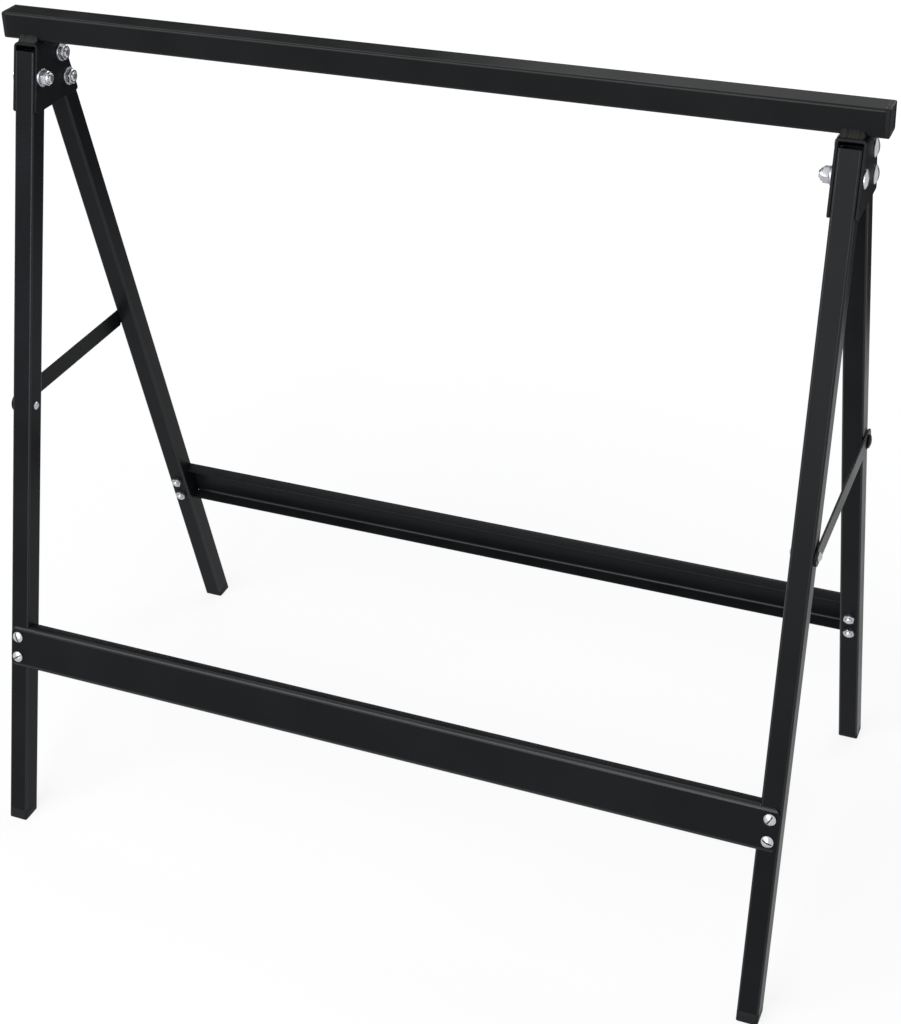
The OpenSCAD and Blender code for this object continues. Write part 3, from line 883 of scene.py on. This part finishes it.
def press_thread(piece, radius, low, high, pitch):
    """Moves the rings between two heights in, so that a thread of this pitch winds up the shank."""
    depth = THREAD_DEPTH * pitch
    for vertex in piece.data.vertices:
        x, y, z = vertex.co / MM
        if low <= z <= high and math.hypot(x, y) > radius / 2:
            phase = (z / pitch - math.atan2(y, x) / math.tau) % 1.0
            groove = max(0.0, 1.0 - abs(phase - 0.5) / GROOVE_HALF)
            fade = min(1.0, (high - z) / pitch)
            share = 1.0 - depth * groove * fade / radius
            vertex.co.x *= share
            vertex.co.y *= share


# %% [markdown]
# ## Bracket bolts
#
# Three bolts go through each bracket. Each has a low round head outside and a thread that ends just past its
# nut. The head's edge is upright for a third of its height, as on a cold-headed bolt, and the tip is cut back
# so that the nut starts easily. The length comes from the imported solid.

# %% Bracket bolts
BOLT = {
    "shank_r": 4.0, "pitch": 1.25, "tip": 1.1, "thread": 15.0,
    "head_r": 8.0, "head_h": 3.6, "rim": 1.0, "edge": 0.35,
}
BOLT_TWIST = 0.7


def round_head(shank_r, seat, top, head_r, rim, edge):
    """Outline points of a round head, from the shank under its seat to its top."""
    return [(shank_r, seat), (head_r - edge, seat), (head_r, seat + edge), *dome(head_r, seat + rim, top)]


def threaded_model(name, length, shank_r, pitch, tip, thread, head_r, head_h, rim, edge):
    """A fastener with its tip at zero and the top of its round head at the given length."""
    outline = [(0.0, 0.0), (shank_r - tip, 0.0), *threaded_rise(shank_r, tip, thread, pitch)]
    outline += round_head(shank_r, length - head_h, length, head_r, rim, edge)
    model = turned(name, outline)
    press_thread(model, shank_r, tip, thread, pitch)
    return model


for node in ("pivot_bolts", "back_leg_bolts"):
    boxes = solid_boxes(node)
    bolt = threaded_model("bolt_model", length_x(boxes[0]), **BOLT)
    dress(copies(bolt, node + "_threaded", all_end_on(boxes, BOLT_TWIST)), node)
    put_away(bolt)
    print(node, "made:", len(boxes))

# %% [markdown]
# ## Washers
#
# A washer is stamped from sheet: the punch rolls one edge over and leaves the other sharp. A tube with a
# thick wall would lack that edge, so the outline runs once round the ring's section, and the spin closes it.

# %% Washers
WASHER_R = 8.5
WASHER_HOLE_R = 4.2
WASHER_T = 1.6
ROLLED = 0.45
ROLL_BULGE = 0.13
HOLE_EDGE = 0.2
SHARP_EDGE = 0.1

rolled_side = [
    (WASHER_HOLE_R, HOLE_EDGE), (WASHER_HOLE_R + HOLE_EDGE, 0.0), (WASHER_R - ROLLED, 0.0),
    (WASHER_R - ROLL_BULGE, ROLL_BULGE), (WASHER_R, ROLLED),
]
sharp_side = [
    (WASHER_R, WASHER_T - SHARP_EDGE), (WASHER_R - SHARP_EDGE, WASHER_T),
    (WASHER_HOLE_R + SHARP_EDGE, WASHER_T), (WASHER_HOLE_R, WASHER_T - SHARP_EDGE),
]
washer = turned("washer_model", rolled_side + sharp_side + rolled_side[:1])
for node in ("pivot_washers", "back_leg_washers"):
    boxes = solid_boxes(node)
    dress(copies(washer, node + "_stamped", all_end_on(boxes)), node)
    print(node, "made:", len(boxes))
put_away(washer)

# %% [markdown]
# ## Nuts
#
# A nut is a six-sided bar whose corners are turned away at the ends, so it is the common part of a prism and
# a turned blank: a Boolean cuts the one with the other, and another cuts the hole. The pivot nuts are lock
# nuts, with a round collar rolled over at the end that shows. The nuts of the back legs are plain and thin.

# %% Nuts
NUT_W = 13.0
NUT_HOLE_R = 4.05
NUT_COLLAR = 2.0
LOCK_NUT_H, THIN_NUT_H = 8.0, 4.0
LOCK_NUT_TWIST, THIN_NUT_TWIST = 0.35, 0.5
SIXTH = math.radians(60)
CHAMFER = math.radians(30)
FACE_SHARE, COLLAR_SHARE = 0.95, 0.86
COLLAR_ROLL = ((0.9, 0.0), (0.25, 0.3), (0.0, 0.95))
LEAD_IN = 0.5
BLANK_SPARE, CUT_SPARE = 0.1, 1.0
CUT_GAP = 10 * MERGE_GAP
NUT_EDGE = 0.18
NUT_EDGE_ANGLE = math.radians(25)


def cut_with(piece, cutter, operation):
    """Cuts a piece with another shape, which is then removed."""
    finish_modifier(piece, "BOOLEAN", object=cutter, operation=operation, solver="EXACT")
    put_away(cutter)


def blank_nut(name, width, height, collar):
    """A six-sided bar above its collar, with the corners turned away at both ends."""
    face_r = width / 2 * FACE_SHARE
    corner_r = width / 2 / math.cos(SIXTH / 2)
    cut = (corner_r - face_r) * math.tan(CHAMFER)
    piece = fresh(
        name, bpy.ops.mesh.primitive_cylinder_add, vertices=6, radius=corner_r * MM,
        depth=(height - collar) * MM, location=(0, 0, (height + collar) / 2 * MM),
    )
    bpy.ops.object.transform_apply(location=True, rotation=True, scale=True)
    blank = turned("blank", [
        (0.0, collar), (face_r, collar), (corner_r + BLANK_SPARE, collar + cut),
        (corner_r + BLANK_SPARE, height - cut), (face_r, height), (0.0, height),
    ])
    cut_with(piece, blank, "INTERSECT")
    return piece


def nut_model(name, width, height, hole_r, collar=0.0):
    """A nut from zero up; a collar is a round rim of that height below its hexagon."""
    piece = blank_nut(name, width, height, collar)
    if collar:
        rim_r = width / 2 * COLLAR_SHARE
        roll = [(rim_r - inset, rise) for inset, rise in COLLAR_ROLL]
        top = collar + CUT_SPARE
        cut_with(piece, turned("rim", [(0.0, 0.0), *roll, (rim_r, top), (0.0, top)]), "UNION")
    mouth_r = hole_r + LEAD_IN + CUT_SPARE
    low, high = -CUT_SPARE, height + CUT_SPARE
    hole = turned("hole", [
        (0.0, low), (mouth_r, low), (hole_r, LEAD_IN),
        (hole_r, height - LEAD_IN), (mouth_r, high), (0.0, high),
    ])
    cut_with(piece, hole, "DIFFERENCE")
    bpy.ops.object.mode_set(mode="EDIT")
    bpy.ops.mesh.select_all(action="SELECT")
    bpy.ops.mesh.remove_doubles(threshold=CUT_GAP)
    bpy.ops.object.mode_set(mode="OBJECT")
    finish_modifier(
        piece, "BEVEL", limit_method="ANGLE", angle_limit=NUT_EDGE_ANGLE, width=NUT_EDGE * MM, segments=2
    )
    return smoothed(piece)


lock_nut = nut_model("lock_nut_model", NUT_W, LOCK_NUT_H, NUT_HOLE_R, collar=NUT_COLLAR)
thin_nut = nut_model("thin_nut_model", NUT_W, THIN_NUT_H, NUT_HOLE_R)
for node, name, model, twist in (
    ("pivot_nuts", "pivot_nuts_collared", lock_nut, LOCK_NUT_TWIST),
    ("back_leg_nuts", "back_leg_nuts_hex", thin_nut, THIN_NUT_TWIST),
):
    boxes = solid_boxes(node)
    dress(copies(model, name, all_end_on(boxes, twist)), node)
    put_away(model)
    print(node, "made:", len(boxes))

# %% [markdown]
# ## Stretcher screws and their nuts
#
# Slotted pan-head screws hold the stretchers to the legs, with a plain nut inside the frame. The slot is cut
# with a Boolean and its faces are marked, so that the finish can paint shade into it. Every screw stops at
# its own angle, because nobody lines them up. Their axes lean with the legs.

# %% Stretcher screws and their nuts
SCREW = {
    "shank_r": 3.0, "pitch": 1.0, "tip": 0.9, "thread": 14.0,
    "head_r": 5.5, "head_h": 3.8, "rim": 1.368, "edge": 0.3,
}
SCREW_LENGTH = 32.8
SCREW_TAIL = 2.0
SCREW_NUT_W = 10.0
SCREW_NUT_H = 5.0
SCREW_NUT_HOLE_R = 3.05
SCREW_NUT_TWIST = 0.4
SLOT_W = 1.3
SLOT_DEPTH = 1.6
SLOT_TURNS = [math.radians(turn) for turn in (35.0, 110.0, -20.0, 60.0)]
NEAR = 0.01


def screw_model(name):
    """A slotted screw with its tip at zero; the faces of its slot are marked for painted shade."""
    model = threaded_model(name, SCREW_LENGTH, **SCREW)
    slot = fresh("slot", bpy.ops.mesh.primitive_cube_add, size=MM, location=(0, 0, SCREW_LENGTH * MM))
    slot.scale = (3 * SCREW["head_r"], SLOT_W, 2 * SLOT_DEPTH)
    bpy.ops.object.transform_apply(location=True, rotation=True, scale=True)
    cut_with(model, slot, "DIFFERENCE")
    # this mark tells the zinc finish where to paint shade into the slot
    slot_shade = model.data.attributes.new("slot_shade", "FLOAT", "CORNER")
    for face in model.data.polygons:
        _, y, z = face.center / MM
        in_slot = abs(y) < SLOT_W / 2 + NEAR and z > SCREW_LENGTH - SLOT_DEPTH - NEAR
        for corner in face.loop_indices:
            slot_shade.data[corner].value = float(in_slot)
    return smoothed(model)


screw = screw_model("screw_model")
screw_nut = nut_model("screw_nut_model", SCREW_NUT_W, SCREW_NUT_H, SCREW_NUT_HOLE_R)
nut_back = SCREW_NUT_H / 2 * MM
tip_back = nut_back + SCREW_TAIL * MM
for frame_name, way in (("front", -1.0), ("back", 1.0)):
    nut_node, screw_node = frame_name + "_stretcher_nuts", frame_name + "_stretcher_screws"
    outward = Vector((0.0, way * math.cos(LEAN), math.sin(LEAN)))
    centres = [middle(box) for box in solid_boxes(nut_node)]
    nut_places = [
        Matrix.Translation(centre - nut_back * outward) @ along(outward, SCREW_NUT_TWIST * i)
        for i, centre in enumerate(centres)
    ]
    screw_places = [
        Matrix.Translation(centre - tip_back * outward) @ along(outward, turn)
        for centre, turn in zip(centres, SLOT_TURNS)
    ]
    dress(copies(screw_nut, nut_node + "_hex", nut_places), nut_node)
    dress(copies(screw, screw_node + "_slotted", screw_places), screw_node)
    print(screw_node, "made:", len(screw_places), "with as many nuts")
put_away(screw, screw_nut)

# %% [markdown]
# ## Stay rivets and studs
#
# Each stay turns on a rivet through the front leg. The rivet has a round factory head outside and a smaller
# set head inside. On the back leg a headed stud stands out of the tube wall, and the stay's hook drops over
# it. Both are turned shapes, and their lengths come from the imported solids.

# %% Stay rivets and studs
RIVET_R = 2.5
RIVET_TAIL_R = 4.0
RIVET_TAIL_H = 2.2
RIVET_HEAD_R = 4.5
RIVET_HEAD_H = 2.8
RIVET_RIM = 0.5
STUD_SPIGOT_R = 2.25
STUD_SPIGOT = 3.0
STUD_R = 3.0
STUD_HEAD_R = 6.5
STUD_HEAD_H = 3.0
STUD_HEAD_RIM = 1.35
STUD_HEAD_EDGE = 0.3


def rivet_model(length):
    """A rivet with its set head at zero and its factory head at the given length."""
    seat = length - RIVET_HEAD_H
    tail = [(r, RIVET_TAIL_H - z) for r, z in dome(RIVET_TAIL_R, RIVET_RIM, RIVET_TAIL_H)][::-1]
    outline = tail + [(RIVET_TAIL_R, RIVET_TAIL_H), (RIVET_R, RIVET_TAIL_H), (RIVET_R, seat)]
    outline += [(RIVET_HEAD_R, seat)] + dome(RIVET_HEAD_R, seat + RIVET_RIM, length)
    return turned("rivet_model", outline)


def stud_model(length):
    """A stud with its spigot at zero and its head at the given length."""
    seat = length - STUD_HEAD_H
    outline = [(0.0, 0.0), (STUD_SPIGOT_R, 0.0), (STUD_SPIGOT_R, STUD_SPIGOT), (STUD_R, STUD_SPIGOT)]
    outline += round_head(STUD_R, seat, length, STUD_HEAD_R, STUD_HEAD_RIM, STUD_HEAD_EDGE)
    return turned("stud_model", outline)


for kind, maker in (("stay_rivet", rivet_model), ("stay_stud", stud_model)):
    for end in ("left", "right"):
        node = kind + "_" + end
        box = solid_boxes(node)[0]
        model = maker(length_x(box))
        dress(copies(model, node + "_turned", [end_on(box)]), node)
        put_away(model)
        print(node, "made:", round(length_x(box), 1), "mm long")

# %% [markdown]
# ## Weld beads
#
# A hand-run bead joins the beam to each bracket, front and back. It grew in puddles: each one is a crescent
# that laps over the last, and the bead starts and ends thin. One section of the bead is drawn as a bowed
# triangle and extruded along the joint in small steps, and each step is scaled about the corner that the bead
# fills. A smooth fillet would look machined.

# %% Weld beads
WELD_LEG = 5.2
WELD_SINK = 0.3
WELD_BOW = 1.18
WELD_STEP = 0.45
CRESCENT = 1.3
ARC_POINTS = 9
BEAD_ANGLE = math.radians(50)
THIN_END, RUN_IN = 0.72, 2.4
PUDDLE, PUDDLE_START, LAP = 3.3, 0.2, 0.09
SWAY_LENGTH, SWAY_START, SWAY = 11.0, 0.6, 0.07


def bead_size(x, length):
    """Size of the bead at a distance along it, as a share of the middle size."""
    ends = min(1.0, THIN_END + (1.0 - THIN_END) * min(x, length - x) / RUN_IN)
    lap = LAP * (abs(math.sin(math.pi * (x / PUDDLE + PUDDLE_START))) - 0.5)
    sway = SWAY * math.sin(math.tau * x / SWAY_LENGTH + SWAY_START)
    return ends * (1.0 + lap + sway)


def bead_section():
    """The bowed triangle of the bead; its outer points lead, which makes the crescents."""
    section = [(0.0, WELD_SINK, -WELD_SINK)]
    for i in range(ARC_POINTS):
        t = math.radians(90) * i / (ARC_POINTS - 1)
        flat = 1.0 / (math.cos(t) + math.sin(t))
        reach = WELD_LEG * flat * (1.0 + (WELD_BOW - 1.0) * math.sin(2 * t))
        section.append((CRESCENT * math.sin(2 * t), -reach * math.cos(t), reach * math.sin(t)))
    return section


def bead_model(length):
    """A bead along X from zero; the beam's wall is the plane Y = 0 and the lip is the plane Z = 0."""
    piece = drawn_line("bead_model", bead_section())
    bpy.ops.mesh.edge_face_add()
    size = bead_size(0.0, length)
    corner = (0.0, WELD_SINK * MM, -WELD_SINK * MM)
    bpy.ops.transform.resize(value=(1.0, size, size), center_override=corner)
    run = length - CRESCENT
    steps = int(run / WELD_STEP)
    for i in range(1, steps + 1):
        grown = bead_size(i * run / steps, length) / size
        size *= grown
        bpy.ops.mesh.extrude_region_move(TRANSFORM_OT_translate={"value": (run / steps * MM, 0, 0)})
        bpy.ops.transform.resize(value=(1.0, grown, grown), center_override=corner)
    bpy.ops.mesh.select_all(action="SELECT")
    bpy.ops.mesh.normals_make_consistent(inside=False)
    bpy.ops.object.mode_set(mode="OBJECT")
    return smoothed(piece, BEAD_ANGLE)


weld_boxes = solid_boxes("bracket_welds")
bead = bead_model(length_x(weld_boxes[0]))
weld_places = []
for low, high in weld_boxes:
    if low.y < 0:
        weld_places.append(Matrix.Translation((low.x, high.y, low.z)))
    else:
        weld_places.append(Matrix.Translation((high.x, low.y, low.z)) @ Matrix.Rotation(math.pi, 4, "Z"))
dress(copies(bead, "bracket_welds_rippled", weld_places), "bracket_welds")
put_away(bead)
print("weld beads made:", len(weld_places))

# %% [markdown]
# ## Plugs
#
# The beam ends and the feet are closed by moulded plugs: a collar that shows, and a square socket that grips
# inside the tube. Each starts as a block. Bevels round it, an inset and an extrusion draw the socket, and a
# smaller block cuts its bore. A solid block would do for the picture, but a plug is a thin moulding, and its
# socket shows as soon as it is taken out.

# %% Tools for plugs
SOCKET_INSET = 1.6
SOCKET_WALL = 2.0
SOCKET_LENGTH = 16.0
PLUG_FLOOR = 3.0
BORE_CORNER = 1.0
MOSTLY = 0.9


def pick(piece, kind, test):
    """Selects faces or edges of a piece by a test on their middle and normal, and opens edit mode."""
    only(piece)
    faces = kind == "FACE"
    bpy.context.tool_settings.mesh_select_mode = (False, not faces, faces)
    bpy.ops.object.mode_set(mode="EDIT")
    bpy.ops.mesh.select_all(action="DESELECT")
    bpy.ops.object.mode_set(mode="OBJECT")
    mesh = piece.data
    if faces:
        for face in mesh.polygons:
            face.select = test(face.center / MM, face.normal)
    else:
        for edge in mesh.edges:
            start, end = (mesh.vertices[v].co for v in edge.vertices)
            edge.select = test((start + end) / 2 / MM, (end - start).normalized())
    bpy.ops.object.mode_set(mode="EDIT")


def round_edges(piece, test, size, segments):
    """Rounds the edges that pass a test on their middle and direction; size is in millimetres."""
    pick(piece, "EDGE", test)
    bpy.ops.mesh.bevel(offset=size * MM, segments=segments, affect="EDGES")
    bpy.ops.object.mode_set(mode="OBJECT")


def block(name, width, low, high, corner_r):
    """An upright square block in millimetres with round upright edges."""
    piece = fresh(name, bpy.ops.mesh.primitive_cube_add, size=MM, location=(0, 0, (low + high) / 2 * MM))
    piece.scale = (width, width, high - low)
    bpy.ops.object.transform_apply(location=True, rotation=True, scale=True)
    round_edges(piece, lambda centre, way: abs(way.z) > MOSTLY, corner_r, segments=6)
    return piece


def add_socket(piece, size, seat, way, inset):
    """Draws a hollow square socket out of the face at height seat, towards way along Z."""
    pick(piece, "FACE", lambda centre, normal: abs(centre.z - seat) < NEAR and normal.z * way > MOSTLY)
    bpy.ops.mesh.inset(thickness=inset * MM)
    bpy.ops.mesh.extrude_region_move(TRANSFORM_OT_translate={"value": (0, 0, way * SOCKET_LENGTH * MM)})
    bpy.ops.object.mode_set(mode="OBJECT")
    bore = size - 2 * (SOCKET_INSET + SOCKET_WALL)
    low, high = sorted((seat + way * PLUG_FLOOR, seat + way * (SOCKET_LENGTH + CUT_SPARE)))
    cut_with(piece, block("bore", bore, low, high, BORE_CORNER), "DIFFERENCE")


# %% [markdown]
# ## Beam plugs
#
# A beam plug shows a rounded collar with a shallow dish, which moulders add so that the face doesn't sink
# unevenly. Another block cuts the dish: an inset face pushed in would do too, but would keep the collar's
# larger corners.

# %% Beam plugs
BEAM_SIZE = 25.0
BEAM_CORNER = 2.5
BEAM_PLUG_T = 4.0
COLLAR_EDGE = 0.9
DISH_RIM = 3.0
DISH_DEPTH = 0.6
DISH_EDGE = 0.2


def beam_plug_model():
    """A beam plug with Z out of the tube and its collar from zero up."""
    piece = block("beam_plug_model", BEAM_SIZE, 0.0, BEAM_PLUG_T, BEAM_CORNER)
    add_socket(piece, BEAM_SIZE, 0.0, -1.0, SOCKET_INSET)
    round_edges(piece, lambda centre, way: centre.z > BEAM_PLUG_T - NEAR, COLLAR_EDGE, segments=4)
    low, high = BEAM_PLUG_T - DISH_DEPTH, BEAM_PLUG_T + CUT_SPARE
    cut_with(piece, block("dish", BEAM_SIZE - 2 * DISH_RIM, low, high, BEAM_CORNER), "DIFFERENCE")
    finish_modifier(
        piece, "BEVEL", limit_method="ANGLE", angle_limit=CUT_ANGLE, width=DISH_EDGE * MM, segments=2
    )
    return smoothed(piece)


beam_plug = beam_plug_model()
for end, side in (("left", -1.0), ("right", 1.0)):
    node = "beam_plug_" + end
    low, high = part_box(node)
    tube_end = max(low.x, high.x, key=abs) - side * BEAM_PLUG_T * MM
    place = Matrix.Translation((tube_end, 0.0, (low.z + high.z) / 2)) @ along(Vector((side, 0, 0)))
    dress(copies(beam_plug, node + "_moulded", [place]), node)
    print(node, "made: tube ends at", round(tube_end / MM, 1), "mm")
put_away(beam_plug)

# %% [markdown]
# ## Foot plugs
#
# A foot plug continues its leg and ends in a level sole with a shallow hollow, so that it stands on its rim.
# Each is modelled upright, leaned with its leg, and only then cut: a bisect at the floor gives a level sole
# whatever the lean is.

# %% Foot plugs
LEG_SIZE = 20.0
LEG_CORNER = 2.0
FOOT_COLLAR = 8.0
SHOULDER = 0.45
SOLE_EDGE = 0.7
SOLE_RIM = 3.0
SOLE_HOLLOW = 0.8
ON_FLOOR = 0.001
floor_rest = next(mount for mount in frame["record"]["mounts"] if mount["name"] == "floor_rest")
FOOT_X, FOOT_Y = abs(floor_rest["pos_m"][0]), abs(floor_rest["pos_m"][1])


def foot_plug_model():
    """A foot plug in its leg's own frame, with zero where the leg's axis meets the floor."""
    piece = block("foot_plug_model", LEG_SIZE, -LEG_SIZE / 2, FOOT_COLLAR, LEG_CORNER)
    round_edges(piece, lambda centre, way: centre.z > FOOT_COLLAR - NEAR, SHOULDER, segments=2)
    add_socket(piece, LEG_SIZE, FOOT_COLLAR, 1.0, SOCKET_INSET - SHOULDER)
    return piece


def cut_sole(piece, foot):
    """Cuts a placed foot plug level with the floor, rounds its sole and hollows it a little."""
    only(piece)
    bpy.ops.object.mode_set(mode="EDIT")
    bpy.ops.mesh.select_all(action="SELECT")
    bpy.ops.mesh.bisect(plane_co=(0, 0, 0), plane_no=(0, 0, 1), clear_inner=True, use_fill=True)
    bpy.ops.object.mode_set(mode="OBJECT")
    round_edges(piece, lambda centre, way: centre.z < ON_FLOOR and abs(way.z) < NEAR, SOLE_EDGE, segments=3)
    hollow = block("hollow", LEG_SIZE - 2 * SOLE_RIM, -CUT_SPARE, SOLE_HOLLOW, LEG_CORNER)
    hollow.location = foot
    only(hollow)
    bpy.ops.object.transform_apply(location=True, rotation=True, scale=True)
    cut_with(piece, hollow, "DIFFERENCE")
    smoothed(piece)


foot_plug = foot_plug_model()
for frame_name, way in (("front", -1.0), ("back", 1.0)):
    for end, side in (("left", -1.0), ("right", 1.0)):
        node = "foot_plug_" + frame_name + "_" + end
        foot = Vector((side * FOOT_X, way * FOOT_Y, 0.0))
        place = Matrix.Translation(foot) @ Matrix.Rotation(way * LEAN, 4, "X")
        plug = copies(foot_plug, node + "_moulded", [place])
        cut_sole(plug, foot)
        dress(plug, node)
        print(node, "made:", len(plug.data.polygons), "faces")
put_away(foot_plug)

# %% [markdown]
# ## Sizes
#
# Both boxes are printed at the end: that of the solids and that of the dressed trestle.

# %% Sizes
boxes = {"cad": [list(c) for c in CAD_BOX], "visual": [list(c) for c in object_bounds()]}
print("sizes:", boxes)
